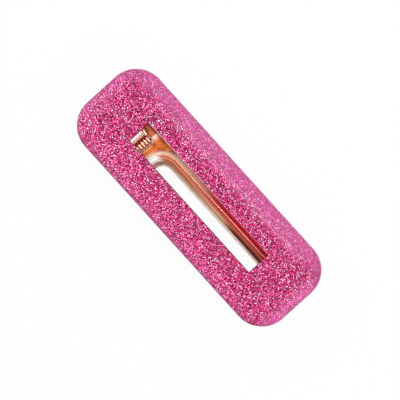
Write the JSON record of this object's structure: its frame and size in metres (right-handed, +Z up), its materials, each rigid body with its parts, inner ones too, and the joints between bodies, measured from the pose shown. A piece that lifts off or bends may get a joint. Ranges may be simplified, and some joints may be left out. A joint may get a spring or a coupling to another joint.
{
  "type": "hair clip",
  "caption": "Hollow rectangular hair clip: a pink glitter acrylic frame glued to a sprung rose-gold alligator clip with forked jaws.",
  "frame": {"origin": "bottom centre of the bounding box, at the height of the pinch tab's end that the clip lies on", "axes": "+X along the clip from the pinch tab to the jaw tips, +Y across it, +Z up through the acrylic's front face"},
  "size_m": [0.082, 0.0284, 0.0151],
  "materials": {
    "glitter_acrylic": "gloss, filled with fine pink and silver glitter",
    "rose_gold": "polished rose-gold plating",
    "spring_wire": "bright rose-gold plating on drawn wire",
    "pin_steel": "bright, riveted ends",
    "clear_glue": "clear, slightly milky"
  },
  "bodies": {
    "frame": {"acrylic_frame": "glitter_acrylic", "fixed_lever": "rose_gold", "hinge_pin": "pin_steel", "torsion_spring": "spring_wire", "tail_glue": "clear_glue", "prong_glue": "clear_glue"},
    "jaw": {"moving_lever": "rose_gold"}
  },
  "joints": [
    {"name": "jaw_hinge", "type": "hinge", "parent": "frame", "child": "jaw", "pos_m": [-0.0223, -0.0036, 0.00715], "axis": [0, 1, 0], "range_deg": [0, 30], "stiffness_Nm_per_rad": 0.05, "springref_deg": -28.65, "deforming": ["torsion_spring"]}
  ]
}
